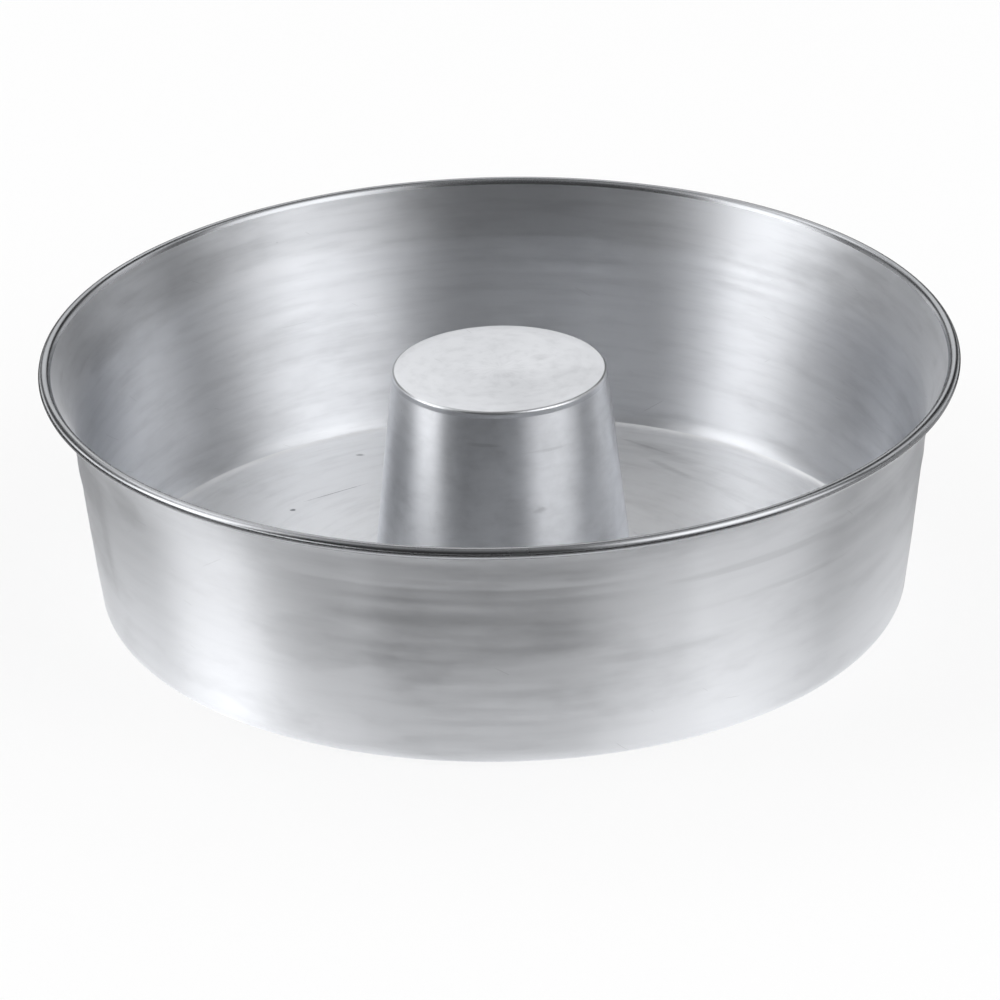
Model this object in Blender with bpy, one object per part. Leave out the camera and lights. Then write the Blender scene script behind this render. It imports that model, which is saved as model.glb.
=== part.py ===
"""Savarin mould: a spun aluminium pan with a rolled rim, and a drawn centre cone locked into it.

Each piece is one sheet. Its section is drawn as the middle line of the sheet, as a list of
stations: points of that line with the direction in which it runs there. The line gets the
sheet's thickness to both sides and is turned about the upright axis.
Metres, +Z up. The origin is the middle of the flat base, on the surface that the mould stands on.
"""
import math
from typing import NamedTuple

import bmesh
import bpy
from mathutils import Vector

# Sheet of both pieces
SHEET = 0.0008

# Pan: wall, flare and rolled rim
RIM_DIAMETER = 0.2400        # over the rolled rim
RIM_HEIGHT = 0.0673          # top of the rolled rim above the table
BEAD_DIAMETER = 0.0031       # the roll itself, over all
BEAD_GAP = 0.0003            # left open between the curled edge and the flare
NECK_DIAMETER = 0.2236       # outside, where the straight wall turns out into the flare
NECK_HEIGHT = 0.0517
BASE_DIAMETER = 0.2108       # outside, where the lines of wall and base would meet
CORNER_RADIUS = 0.0050       # outside, between base and wall

# Centre cone
CONE_TOP_DIAMETER = 0.0560   # outside, where the lines of top and side would meet
CONE_FOOT_DIAMETER = 0.0695  # outside, at the level of the table
CONE_HEIGHT = 0.0625
CONE_EDGE_RADIUS = 0.0012    # outside, round the closed top

# Lock seam that holds the cone in the floor of the pan
SEAM_CLEARANCE = 0.0003      # between the folded layers, and between fold and cone
SEAM_LAP = 0.0030            # length over which the two hooks hold each other
SEAM_STANDOFF = 0.0005       # underside of the seam above the table
STEP_ANGLE = math.radians(60.0)
STEP_BEND = 0.0012           # middle radius of the two bends of the step
STEP_CLEARANCE = 0.0005      # between the seam and the step round it

# Facets: round the axis, and along the bends of the section
SEGMENTS = 72
BEAD_FACETS = 9
FOLD_FACETS = 5
CORNER_FACETS = 5
FLARE_FACETS = 4
BEND_FACETS = 2
EDGE_FACETS = 3

# Finishes: colour and roughness
SPUN_ALUMINIUM = ((0.80, 0.81, 0.83), 0.28)
DRAWN_ALUMINIUM = ((0.82, 0.83, 0.85), 0.24)

SHARP_ANGLE = math.radians(45.0)
AXIS_MERGE = 1e-6
SOLVER_ROUNDS = 30

# Sizes that follow from the ones above
LAYER_PITCH = SHEET + SEAM_CLEARANCE
FOLD_REACH = LAYER_PITCH + SHEET / 2
BEAD_BEND = (BEAD_DIAMETER - SHEET) / 2
CONE_DRAFT = math.atan((CONE_FOOT_DIAMETER - CONE_TOP_DIAMETER) / 2 / CONE_HEIGHT)
WALL_DRAFT = math.atan((NECK_DIAMETER - BASE_DIAMETER) / 2 / NECK_HEIGHT)
OUTWARD = 0.0
UPWARD = math.pi / 2
INWARD = math.pi


class Station(NamedTuple):
    """A point of the sheet's middle line, and the direction in which the line runs there."""

    r: float
    z: float
    heading: float

    def offset(self, distance):
        """The point that lies this far to the left of the line."""
        return Vector((self.r - distance * math.sin(self.heading),
                       self.z + distance * math.cos(self.heading)))


def bend(centre, radius, start, end, facets):
    """Stations along an arc. It turns left for a rising heading, and right for a falling one."""
    side = math.copysign(radius, end - start)
    stations = []
    for i in range(facets + 1):
        heading = start + (end - start) * i / facets
        stations.append(Station(centre[0] + side * math.sin(heading),
                                centre[1] - side * math.cos(heading), heading))
    return stations


def rounded_corner(before, corner, after, radius, facets):
    """Stations along the bend that rounds a corner of the middle line."""
    arriving = math.atan2(corner[1] - before[1], corner[0] - before[0])
    leaving = math.atan2(after[1] - corner[1], after[0] - corner[0])
    turn = math.remainder(leaving - arriving, 2 * math.pi)
    setback = radius * math.tan(abs(turn) / 2)
    side = math.copysign(radius, turn)
    centre = (corner[0] - setback * math.cos(arriving) - side * math.sin(arriving),
              corner[1] - setback * math.sin(arriving) + side * math.cos(arriving))
    return bend(centre, radius, arriving, arriving + turn, facets)


def layer_height(layer):
    """Middle of a layer of the seam: 0 cone flange, 1 pan hem, 2 cone hook, 3 pan floor."""
    return SEAM_STANDOFF + SHEET / 2 + layer * LAYER_PITCH


def cone_radius(z):
    """Outside radius of the cone's straight side at a height."""
    return CONE_FOOT_DIAMETER / 2 - z * math.tan(CONE_DRAFT)


def cone_side(z):
    """Point of the middle line of the cone's straight side at a height."""
    return (cone_radius(z) - SHEET / 2 / math.cos(CONE_DRAFT), z)


def wall_side(z):
    """Point of the middle line of the pan's straight wall at a height."""
    outside = BASE_DIAMETER / 2 + z * math.tan(WALL_DRAFT)
    return (outside - SHEET / 2 / math.cos(WALL_DRAFT), z)


def hem_fold_centre():
    """Where the pan's floor folds under itself, just clear of the cone's side."""
    z = layer_height(2)
    return (cone_radius(z) + (FOLD_REACH + SEAM_CLEARANCE) / math.cos(CONE_DRAFT), z)


def hook_fold_centre():
    """Where the cone's flange folds back over the pan's hem."""
    return (hem_fold_centre()[0] + SEAM_LAP, layer_height(1))


def step_point(z):
    """Where the slope of the step round the seam crosses a height."""
    fold = hook_fold_centre()
    distance = FOLD_REACH + STEP_CLEARANCE + SHEET / 2
    return (fold[0] + (distance - (z - fold[1]) * math.cos(STEP_ANGLE)) / math.sin(STEP_ANGLE), z)


def flare_and_bead():
    """Stations of the flare and of the open roll that it ends in."""
    bead_centre = ((RIM_DIAMETER - BEAD_DIAMETER) / 2, RIM_HEIGHT - BEAD_DIAMETER / 2)
    neck = wall_side(NECK_HEIGHT)
    start = UPWARD - WALL_DRAFT
    end = start
    # The flare is one arc, so its chord runs halfway between its first and last headings.
    for _ in range(SOLVER_ROUNDS):
        joint = (bead_centre[0] - BEAD_BEND * math.sin(end), bead_centre[1] + BEAD_BEND * math.cos(end))
        end = 2 * math.atan2(joint[1] - neck[1], joint[0] - neck[0]) - start
    chord = math.dist(neck, joint)
    radius = chord / 2 / math.sin((start - end) / 2)
    flare_centre = (neck[0] + radius * math.sin(start), neck[1] - radius * math.cos(start))
    open_angle = math.acos((BEAD_BEND - SHEET / 2 - BEAD_GAP) / (BEAD_DIAMETER / 2))
    tip = end - (2 * math.pi - open_angle)
    flare = bend(flare_centre, radius, start, end, FLARE_FACETS)
    bead = bend(bead_centre, BEAD_BEND, end, tip, BEAD_FACETS)
    return flare[:-1] + bead


def pan_line():
    """The pan's middle line, from the hidden edge of its hem, outwards and up to the rolled rim."""
    hem_edge = Station(hook_fold_centre()[0], layer_height(1), INWARD)
    fold = bend(hem_fold_centre(), LAYER_PITCH, INWARD, OUTWARD, FOLD_FACETS)
    head = step_point(layer_height(3))
    toe = step_point(SHEET / 2)
    foot = wall_side(SHEET / 2)
    step_head = rounded_corner(fold[-1], head, toe, STEP_BEND, BEND_FACETS)
    step_toe = rounded_corner(head, toe, foot, STEP_BEND, BEND_FACETS)
    corner = rounded_corner(toe, foot, wall_side(NECK_HEIGHT), CORNER_RADIUS - SHEET / 2, CORNER_FACETS)
    return [hem_edge] + fold + step_head + step_toe + corner + flare_and_bead()


def cone_line():
    """The cone's middle line, from the middle of its top, down its side and into its hook."""
    top_height = CONE_HEIGHT - SHEET / 2
    top = Station(0.0, top_height, OUTWARD)
    edge_corner = cone_side(top_height)
    foot_corner = cone_side(layer_height(0))
    edge = rounded_corner(top, edge_corner, foot_corner, CONE_EDGE_RADIUS - SHEET / 2, EDGE_FACETS)
    foot = rounded_corner(edge_corner, foot_corner, (hook_fold_centre()[0], layer_height(0)),
                          LAYER_PITCH, BEND_FACETS)
    fold = bend(hook_fold_centre(), LAYER_PITCH, OUTWARD, INWARD, FOLD_FACETS)
    hook_edge = Station(hem_fold_centre()[0], layer_height(2), INWARD)
    return [top] + edge + foot + fold + [hook_edge]


def turned_sheet(name, line, material):
    """A sheet piece: its middle line, thickened to both sides and turned about the upright axis."""
    left = [station.offset(SHEET / 2) for station in line]
    right = [station.offset(-SHEET / 2) for station in line]
    section = left + right[::-1]
    meets_axis = line[0].r == 0.0
    mesh = bpy.data.meshes.new(name)
    bm = bmesh.new()
    corners = [bm.verts.new((point.x, 0.0, point.y)) for point in section]
    edges = [bm.edges.new(pair) for pair in zip(corners, corners[1:])]
    if not meets_axis:
        edges.append(bm.edges.new((corners[-1], corners[0])))
    bmesh.ops.spin(bm, geom=corners + edges, cent=(0, 0, 0), axis=(0, 0, 1), angle=2 * math.pi,
                   steps=SEGMENTS, use_merge=True)
    bmesh.ops.remove_doubles(bm, verts=bm.verts, dist=AXIS_MERGE)
    bmesh.ops.recalc_face_normals(bm, faces=bm.faces)
    bm.to_mesh(mesh)
    bm.free()
    mesh.shade_smooth()
    mesh.set_sharp_from_angle(angle=SHARP_ANGLE)
    mesh.materials.append(material)
    piece = bpy.data.objects.new(name, mesh)
    bpy.context.scene.collection.objects.link(piece)
    return piece


def aluminium(name, colour, roughness):
    """A bare aluminium finish."""
    material = bpy.data.materials.new(name)
    material.use_nodes = True
    shader = material.node_tree.nodes["Principled BSDF"]
    shader.inputs["Base Color"].default_value = (*colour, 1.0)
    shader.inputs["Metallic"].default_value = 1.0
    shader.inputs["Roughness"].default_value = roughness
    return material


def main():
    """Clear the scene and build the mould."""
    for old in list(bpy.data.objects):
        bpy.data.objects.remove(old)
    mould = bpy.data.objects.new("savarin_mould", None)
    bpy.context.scene.collection.objects.link(mould)
    spun = aluminium("spun_aluminium", *SPUN_ALUMINIUM)
    drawn = aluminium("drawn_aluminium", *DRAWN_ALUMINIUM)
    for piece in (turned_sheet("mould_body", pan_line(), spun),
                  turned_sheet("centre_cone", cone_line(), drawn)):
        piece.parent = mould


main()
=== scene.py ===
"""Looks of the savarin mould: a spun aluminium pan with a rolled rim, and its drawn centre cone.

Both pieces are one sheet turned about the upright axis. Each is built again here with fine rings
and sectors, with the faint waves that the spinning roller leaves, and stands for its CAD node.
Metres, +Z up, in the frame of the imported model.
"""
from __future__ import annotations

import logging
import math
from abc import ABC, abstractmethod
from dataclasses import dataclass
from enum import Enum
from typing import ClassVar, NamedTuple

import bpy
import numpy as np
from mathutils import Matrix, Vector, noise


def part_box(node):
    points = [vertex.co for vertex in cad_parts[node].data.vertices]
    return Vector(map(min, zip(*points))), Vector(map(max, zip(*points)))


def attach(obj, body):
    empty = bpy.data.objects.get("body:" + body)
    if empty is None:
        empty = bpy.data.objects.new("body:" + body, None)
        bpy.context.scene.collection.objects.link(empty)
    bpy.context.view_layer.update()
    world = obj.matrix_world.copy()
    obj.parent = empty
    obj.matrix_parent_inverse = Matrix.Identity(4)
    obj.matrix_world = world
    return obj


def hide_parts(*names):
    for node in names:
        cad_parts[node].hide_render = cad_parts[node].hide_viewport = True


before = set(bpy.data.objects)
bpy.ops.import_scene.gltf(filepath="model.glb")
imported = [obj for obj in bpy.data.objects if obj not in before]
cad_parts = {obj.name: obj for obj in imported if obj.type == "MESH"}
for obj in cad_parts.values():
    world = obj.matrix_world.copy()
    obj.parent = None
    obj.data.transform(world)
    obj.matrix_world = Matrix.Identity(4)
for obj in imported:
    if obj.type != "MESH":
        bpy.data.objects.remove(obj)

LOG = logging.getLogger("savarin_mould")
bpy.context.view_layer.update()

OUTWARD = 0.0
UPWARD = math.pi / 2
INWARD = math.pi


class Side(Enum):
    """The two faces of a sheet, seen along its middle line."""

    FOOD = 1.0
    OUTER = 0.0


class Zone(Enum):
    """Parts of a piece that the maker's tools left with their own surface."""

    TURNED = 0
    FLAT = 1
    ROLLED = 2


class Station(NamedTuple):
    """A point of a sheet's middle line, and the direction in which the line runs there."""

    r: float
    z: float
    heading: float


class SectionPoint(NamedTuple):
    """A point of the outline of the cut sheet.

    Its offset is the distance from the middle line, its side 1 on the food side and 0 outside.
    """

    station: Station
    offset: float
    along: float
    side: float


Point = tuple[float, float]
SOLVER_ROUNDS = 30
LEVEL_RISE = 0.0001
COUNT_SLACK = 0.01


def bend(centre: Point, radius: float, start: float, end: float, step: float) -> list[Station]:
    """Stations along an arc of the middle line.

    Args:
        centre: Centre of the arc, as radius and height.
        radius: Radius of the arc.
        start: Heading at its first station.
        end: Heading at its last one; a rising heading turns left.
        step: Longest distance between two stations.

    Returns:
        The stations, both ends among them.
    """
    side = math.copysign(radius, end - start)
    count = max(2, math.ceil(abs(end - start) * radius / step))
    headings = [start + (end - start) * i / count for i in range(count + 1)]
    return [Station(centre[0] + side * math.sin(h), centre[1] - side * math.cos(h), h)
            for h in headings]


def bend_right(point: Point, heading: float, turn: float, radius: float,
               step: float) -> list[Station]:
    """Stations along an arc that leaves a point at a heading and turns right."""
    centre = (point[0] + radius * math.sin(heading), point[1] - radius * math.cos(heading))
    return bend(centre, radius, heading, heading - turn, step)


def rounded_corner(before: Point, corner: Point, after: Point, radius: float,
                   step: float) -> list[Station]:
    """Stations along the bend that rounds a corner of the middle line.

    Args:
        before: A point on the line that arrives.
        corner: Where the two lines would meet.
        after: A point on the line that leaves.
        radius: Radius of the bend.
        step: Longest distance between two stations.

    Returns:
        The stations of the bend.
    """
    arriving = math.atan2(corner[1] - before[1], corner[0] - before[0])
    leaving = math.atan2(after[1] - corner[1], after[0] - corner[0])
    turn = math.remainder(leaving - arriving, 2 * math.pi)
    setback = radius * math.tan(abs(turn) / 2)
    side = math.copysign(radius, turn)
    centre = (corner[0] - setback * math.cos(arriving) - side * math.sin(arriving),
              corner[1] - setback * math.sin(arriving) + side * math.cos(arriving))
    return bend(centre, radius, arriving, arriving + turn, step)


def filled(stations: list[Station], step: float, flat_step: float) -> list[Station]:
    """Adds stations along the straight runs of a middle line.

    Args:
        stations: The line's stations.
        step: Longest distance between two stations.
        flat_step: The same on level runs, which have no waves.

    Returns:
        The line with its long gaps filled.
    """
    line = [stations[0]]
    for a, b in zip(stations, stations[1:]):
        level = abs(b.z - a.z) < LEVEL_RISE
        longest = flat_step if level else step
        count = max(1, math.ceil(math.dist(a[:2], b[:2]) / longest - COUNT_SLACK))
        turn = math.remainder(b.heading - a.heading, 2 * math.pi)
        for i in range(1, count + 1):
            t = i / count
            line.append(Station(a.r + (b.r - a.r) * t, a.z + (b.z - a.z) * t,
                                a.heading + turn * t))
    return line


def smooth_step(low: float, high: float, value: float) -> float:
    """A share that rises smoothly from 0 at low to 1 at high."""
    t = min(1.0, max(0.0, (value - low) / (high - low)))
    return t * t * (3 - 2 * t)


@dataclass
class Seam:
    """The folded lock seam that holds the cone in the floor of the pan."""

    sheet: float = 0.0008
    clearance: float = 0.0003
    lap: float = 0.0030
    standoff: float = 0.0005
    step_angle: float = math.radians(60.0)
    step_bend: float = 0.0012
    step_clearance: float = 0.0005
    cone_foot: float = 0.03475
    cone_draft: float = math.atan(0.00675 / 0.0625)

    @property
    def pitch(self) -> float:
        """Distance between the middles of two layers."""
        return self.sheet + self.clearance

    @property
    def reach(self) -> float:
        """Outside radius of a fold."""
        return self.pitch + self.sheet / 2

    def height(self, layer: int) -> float:
        """Middle height of a layer: 0 cone flange, 1 pan hem, 2 cone hook, 3 pan floor."""
        return self.standoff + self.sheet / 2 + layer * self.pitch

    def cone_side(self, z: float) -> Point:
        """Point of the middle line of the cone's straight side at a height."""
        outside = self.cone_foot - z * math.tan(self.cone_draft)
        return (outside - self.sheet / 2 / math.cos(self.cone_draft), z)

    def hem_fold(self) -> Point:
        """Where the pan's floor folds under itself, just clear of the cone's side.

        Returns:
            The centre of the fold, as radius and height.
        """
        z = self.height(2)
        outside = self.cone_foot - z * math.tan(self.cone_draft)
        return (outside + (self.reach + self.clearance) / math.cos(self.cone_draft), z)

    def hook_fold(self) -> Point:
        """Where the cone's flange folds back over the pan's hem."""
        return (self.hem_fold()[0] + self.lap, self.height(1))

    def step_point(self, z: float) -> Point:
        """Where the slope of the step round the seam crosses a height.

        Args:
            z: The height.

        Returns:
            The point, as radius and height.
        """
        fold = self.hook_fold()
        distance = self.reach + self.step_clearance + self.sheet / 2
        along = (distance - (z - fold[1]) * math.cos(self.step_angle)) / math.sin(self.step_angle)
        return (fold[0] + along, z)


@dataclass
class TurnedSheet(ABC):
    """A sheet piece turned about the upright axis."""

    name: str
    sheet: float = 0.0008
    sectors: int = 288
    fine_step: float = 0.0003
    coarse_step: float = 0.0011
    flat_step: float = 0.0040
    cap_facets: int = 4

    @abstractmethod
    def line(self) -> list[Station]:
        """The stations of the middle line, from the axis or the inner edge outwards."""

    @abstractmethod
    def wave(self, along: float, station: Station, angle: float) -> float:
        """How far the sheet stands off its middle line, towards the food side."""

    @abstractmethod
    def zone(self, station: Station) -> Zone:
        """The surface that the sheet has at a station."""

    def section(self) -> list[SectionPoint]:
        """The outline of the cut sheet: food side, far edge, outside, near edge.

        Returns:
            Its points, in order.
        """
        line = filled(self.line(), self.coarse_step, self.flat_step)
        steps = [math.dist(a[:2], b[:2]) for a, b in zip(line, line[1:])]
        along = [0.0, *np.cumsum(steps).tolist()]
        half = self.sheet / 2
        food = [SectionPoint(s, half, a, Side.FOOD.value) for s, a in zip(line, along)]
        outer = [SectionPoint(s, -half, a, Side.OUTER.value) for s, a in zip(line, along)]
        end = self.cut_edge(line[-1], along[-1], 1.0)
        start = self.cut_edge(line[0], 0.0, -1.0) if line[0].r > 0 else []
        return food + end + outer[::-1] + start

    def cut_edge(self, station: Station, along: float, way: float) -> list[SectionPoint]:
        """The rounded cut edge past an end of the middle line, from its left to its right.

        Args:
            station: The end of the line.
            along: Its distance along the line.
            way: 1 past the last station, -1 before the first.

        Returns:
            The points of the edge, in the order of the outline.
        """
        points = []
        for i in range(1, self.cap_facets):
            a = math.pi * i / self.cap_facets
            out = way * self.sheet / 2 * math.sin(a)
            off = way * self.sheet / 2 * math.cos(a)
            moved = Station(station.r + out * math.cos(station.heading),
                            station.z + out * math.sin(station.heading), station.heading)
            points.append(SectionPoint(moved, off, along, 0.5))
        return points

    def build(self) -> bpy.types.Object:
        """Turns the section into a mesh.

        Returns:
            The piece, linked to the scene, with its distance along the line and its side as
            point data.
        """
        section = self.section()
        on_axis = section[0].station.r == 0
        angles = [2 * math.pi * i / self.sectors for i in range(self.sectors)]
        points, alongs, sides, rows = [], [], [], []
        for station, off, along, side in section:
            first = len(points)
            at_axis = station.r == 0
            for angle in angles[:1] if at_axis else angles:
                lift = off + self.wave(along, station, angle)
                r = station.r - lift * math.sin(station.heading)
                z = station.z + lift * math.cos(station.heading)
                points.append((r * math.cos(angle), r * math.sin(angle), z))
                alongs.append(along)
                sides.append(side)
            rows.append([first] * self.sectors if at_axis else
                        list(range(first, first + self.sectors)))
        faces, zones = [], []
        loops = list(zip(rows, rows[1:])) + ([] if on_axis else [(rows[-1], rows[0])])
        for point, (upper, lower) in zip(section, loops):
            for i in range(self.sectors):
                j = (i + 1) % self.sectors
                corners = [upper[i], lower[i], lower[j], upper[j]]
                faces.append(list(dict.fromkeys(corners)))
                zones.append(self.zone(point.station).value)
        mesh = bpy.data.meshes.new(self.name)
        mesh.from_pydata(points, [], faces)
        mesh.polygons.foreach_set("material_index", zones)
        for label, values in (("along", alongs), ("side", sides)):
            layer = mesh.attributes.new(label, "FLOAT", "POINT")
            layer.data.foreach_set("value", values)
        mesh.shade_smooth()
        piece = bpy.data.objects.new(self.name, mesh)
        bpy.context.scene.collection.objects.link(piece)
        return piece


@dataclass(frozen=True)
class Ridge:
    """A ring that the roller left where it paused: its height, depth and width in metres.

    The seed picks where round the wall it shows.
    """

    height: float
    depth: float
    width: float
    seed: float

    def lift(self, z: float, angle: float) -> float:
        """How far the sheet stands off; the ring fades in and out round the wall.

        Args:
            z: Height above the table.
            angle: Angle round the axis.

        Returns:
            The distance, towards the food side.
        """
        near = math.exp(-((z - self.height) / self.width) ** 2)
        around = Vector((2.0 * math.cos(angle) + self.seed, 2.0 * math.sin(angle), self.seed))
        return self.depth * near * (0.5 + noise.noise(around))


@dataclass
class MouldBody(TurnedSheet):
    """The pan: floor, tapered wall, flared lip and rolled rim, in one sheet."""

    name: str = "spun_pan"
    rim_radius: float = 0.1200
    rim_height: float = 0.0673
    bead_radius: float = 0.00155
    bead_gap: float = 0.0003
    neck_radius: float = 0.1118
    neck_height: float = 0.0517
    neck_turn: float = math.radians(9.0)
    neck_bend: float = 0.0090
    base_radius: float = 0.1054
    corner_radius: float = 0.0050
    coarse_step: float = 0.0009
    ring_depth: float = 0.00007
    ring_pitch: float = 0.0021
    ring_spread: float = 1.3
    sway_depth: float = 0.00018
    sway_pitch: float = 0.024
    sway_spread: float = 4.2
    roll_wobble: float = 0.00006
    wobble_spread: float = 5.0
    roll_margin: float = 1.05
    floor_top: float = 0.0060
    floor_slope: float = 0.5
    foot_fade: tuple[float, float] = (0.0060, 0.0160)
    lip_fade: tuple[float, float] = (0.0075, 0.0035)
    ridges: tuple[Ridge, ...] = (
        Ridge(0.0495, 0.00020, 0.0013, 1.0), Ridge(0.0458, 0.00018, 0.0012, 4.0),
        Ridge(0.0420, -0.00015, 0.0013, 7.0), Ridge(0.0565, -0.00010, 0.0014, 2.0),
        Ridge(0.0370, 0.00012, 0.0015, 9.0), Ridge(0.0120, 0.00010, 0.0016, 12.0),
    )

    def draft(self) -> float:
        """Slope of the wall from the upright."""
        return math.atan((self.neck_radius - self.base_radius) / self.neck_height)

    def wall_side(self, z: float) -> Point:
        """Point of the middle line of the straight wall at a height."""
        outside = self.base_radius + z * math.tan(self.draft())
        return (outside - self.sheet / 2 / math.cos(self.draft()), z)

    def flare_and_bead(self) -> list[Station]:
        """Stations of the flare and of the open roll that it ends in.

        Returns:
            The stations, from the neck to the curled edge.
        """
        bend_radius = self.bead_radius - self.sheet / 2
        centre = (self.rim_radius - self.bead_radius, self.rim_height - self.bead_radius)
        neck_bend = bend_right(self.wall_side(self.neck_height), UPWARD - self.draft(),
                               self.neck_turn, self.neck_bend, self.fine_step * 1.5)
        neck = neck_bend[-1][:2]
        start = neck_bend[-1].heading
        end, joint = start, centre
        for _ in range(SOLVER_ROUNDS):
            joint = (centre[0] - bend_radius * math.sin(end), centre[1] + bend_radius * math.cos(end))
            end = 2 * math.atan2(joint[1] - neck[1], joint[0] - neck[0]) - start
        radius = math.dist(neck, joint) / 2 / math.sin((start - end) / 2)
        flare_centre = (neck[0] + radius * math.sin(start), neck[1] - radius * math.cos(start))
        open_angle = math.acos((bend_radius - self.sheet / 2 - self.bead_gap) / self.bead_radius)
        tip = end - (2 * math.pi - open_angle) + self.sheet / 2 / bend_radius
        flare = bend(flare_centre, radius, start, end, self.fine_step * 2.5)
        bead = bend(centre, bend_radius, end, tip, self.fine_step * 0.75)
        return neck_bend[:-1] + flare[:-1] + bead

    def zone(self, station: Station) -> Zone:
        """Tells the roll at the rim, the flat floor and the turned wall between them apart.

        Args:
            station: A station of the middle line.

        Returns:
            The zone that it lies in.
        """
        roll = (self.rim_radius - self.bead_radius, self.rim_height - self.bead_radius)
        if math.dist(roll, station[:2]) < self.bead_radius * self.roll_margin:
            return Zone.ROLLED
        flat = station.z < self.floor_top and abs(math.sin(station.heading)) < self.floor_slope
        return Zone.FLAT if flat else Zone.TURNED

    def line(self) -> list[Station]:
        """The middle line, from the hidden edge of the hem outwards and up to the rolled rim.

        Returns:
            Its stations.
        """
        seam = Seam()
        hem_edge = Station(seam.hook_fold()[0], seam.height(1), INWARD)
        fold = bend(seam.hem_fold(), seam.pitch, INWARD, OUTWARD, self.fine_step)
        head = seam.step_point(seam.height(3))
        toe = seam.step_point(self.sheet / 2)
        foot = self.wall_side(self.sheet / 2)
        neck = self.wall_side(self.neck_height)
        step_head = rounded_corner(fold[-1][:2], head, toe, seam.step_bend, self.fine_step)
        step_toe = rounded_corner(head, toe, foot, seam.step_bend, self.fine_step)
        corner = rounded_corner(toe, foot, neck, self.corner_radius - self.sheet / 2,
                                self.fine_step * 1.5)
        return [hem_edge] + fold + step_head + step_toe + corner + self.flare_and_bead()

    def wave(self, along: float, station: Station, angle: float) -> float:
        """Roller rings, ridges and a slow sway of the wall, and a faint wobble of the roll.

        Args:
            along: Distance along the middle line.
            station: The station there.
            angle: Angle round the axis.

        Returns:
            How far the sheet stands off, towards the food side.
        """
        if self.zone(station) is Zone.ROLLED:
            spread = self.wobble_spread
            around = Vector((spread * math.cos(angle), spread * math.sin(angle), 2.0))
            return -self.roll_wobble * (0.5 + 0.5 * noise.noise(around))
        below, above = self.lip_fade
        share = smooth_step(*self.foot_fade, station.z)
        share *= 1 - smooth_step(self.rim_height - below, self.rim_height - above, station.z)
        if share <= 0:
            return 0.0
        c, s = math.cos(angle), math.sin(angle)
        ring = noise.noise(Vector((self.ring_spread * c, self.ring_spread * s,
                                   along / self.ring_pitch)))
        sway = noise.noise(Vector((self.sway_spread * c + 7.0, self.sway_spread * s,
                                   along / self.sway_pitch)))
        ridge = sum(r.lift(station.z, angle) for r in self.ridges)
        return share * (self.ring_depth * ring + self.sway_depth * sway + ridge)


@dataclass
class CentreCone(TurnedSheet):
    """The closed, tapered tube in the middle, with the flange and hook of its seam."""

    name: str = "drawn_cone"
    top_height: float = 0.0625
    edge_radius: float = 0.0008
    edge_zone: float = 0.0016
    edge_heading: float = -0.05
    sectors: int = 240
    ring_depth: float = 0.00002
    ring_pitch: float = 0.0024
    ring_spread: float = 0.9
    sway_depth: float = 0.00006
    sway_pitch: float = 0.018
    sway_spread: float = 2.2
    foot_fade: tuple[float, float] = (0.0080, 0.0140)
    top_fade: tuple[float, float] = (0.0040, 0.0020)

    def zone(self, station: Station) -> Zone:
        """Tells the flat top, its rounded edge and the drawn side apart.

        Args:
            station: A station of the middle line.

        Returns:
            The zone that it lies in.
        """
        if station.z < self.top_height - self.edge_zone:
            return Zone.TURNED
        return Zone.FLAT if station.heading > self.edge_heading else Zone.ROLLED

    def line(self) -> list[Station]:
        """The middle line, from the middle of the top down the side and into the hook.

        Returns:
            Its stations.
        """
        seam = Seam()
        middle = self.top_height - self.sheet / 2
        top = Station(0.0, middle, OUTWARD)
        edge_corner = seam.cone_side(middle)
        foot_corner = seam.cone_side(seam.height(0))
        edge = rounded_corner(top[:2], edge_corner, foot_corner,
                              self.edge_radius - self.sheet / 2, self.fine_step * 0.3)
        fold_centre = seam.hook_fold()
        foot = rounded_corner(edge_corner, foot_corner, (fold_centre[0], seam.height(0)),
                              seam.pitch, self.fine_step)
        fold = bend(fold_centre, seam.pitch, OUTWARD, INWARD, self.fine_step)
        hook_edge = Station(seam.hem_fold()[0], seam.height(2), INWARD)
        return [top] + edge + foot + fold + [hook_edge]

    def wave(self, along: float, station: Station, angle: float) -> float:
        """Faint drawing waves on the side.

        Args:
            along: Distance along the middle line.
            station: The station there.
            angle: Angle round the axis.

        Returns:
            How far the sheet stands off, towards the food side.
        """
        below, above = self.top_fade
        share = smooth_step(*self.foot_fade, station.z)
        share *= 1 - smooth_step(self.top_height - below, self.top_height - above, station.z)
        if share <= 0:
            return 0.0
        c, s = math.cos(angle), math.sin(angle)
        ring = noise.noise(Vector((self.ring_spread * c, self.ring_spread * s,
                                   along / self.ring_pitch)))
        sway = noise.noise(Vector((self.sway_spread * c + 3.0, self.sway_spread * s,
                                   along / self.sway_pitch)))
        return share * (self.ring_depth * ring + self.sway_depth * sway)


FACE_SHIFT = 1.7
SPIN_TURN = 0.25


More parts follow.
